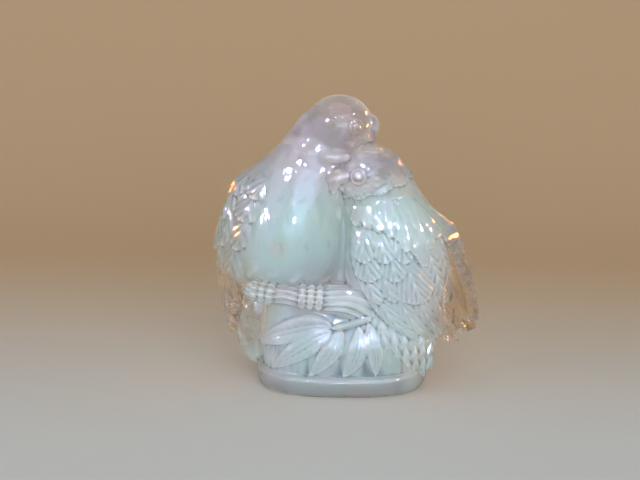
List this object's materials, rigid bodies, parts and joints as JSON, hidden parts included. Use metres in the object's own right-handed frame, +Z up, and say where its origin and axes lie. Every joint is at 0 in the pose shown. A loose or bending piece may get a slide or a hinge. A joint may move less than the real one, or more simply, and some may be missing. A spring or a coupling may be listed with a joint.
{
  "type": "glass bird figurine",
  "caption": "Pressed opalescent glass figurine of a pair of nestled lovebirds gripping a branch, over an oval leaf-wrapped stump that stands on its flat underside.",
  "frame": {"origin": "middle of the flat underside of the stump", "axes": "+Z up; the front, with the leaves and the first bird's breast, faces -Y; +X is the viewer's right"},
  "size_m": [0.0882, 0.0406, 0.095],
  "materials": {
    "opal_glass": "fire-polished opalescent glass with a faint pearly iridescence"
  },
  "bodies": {
    "root": {"lovebirds": "opal_glass"}
  },
  "joints": []
}
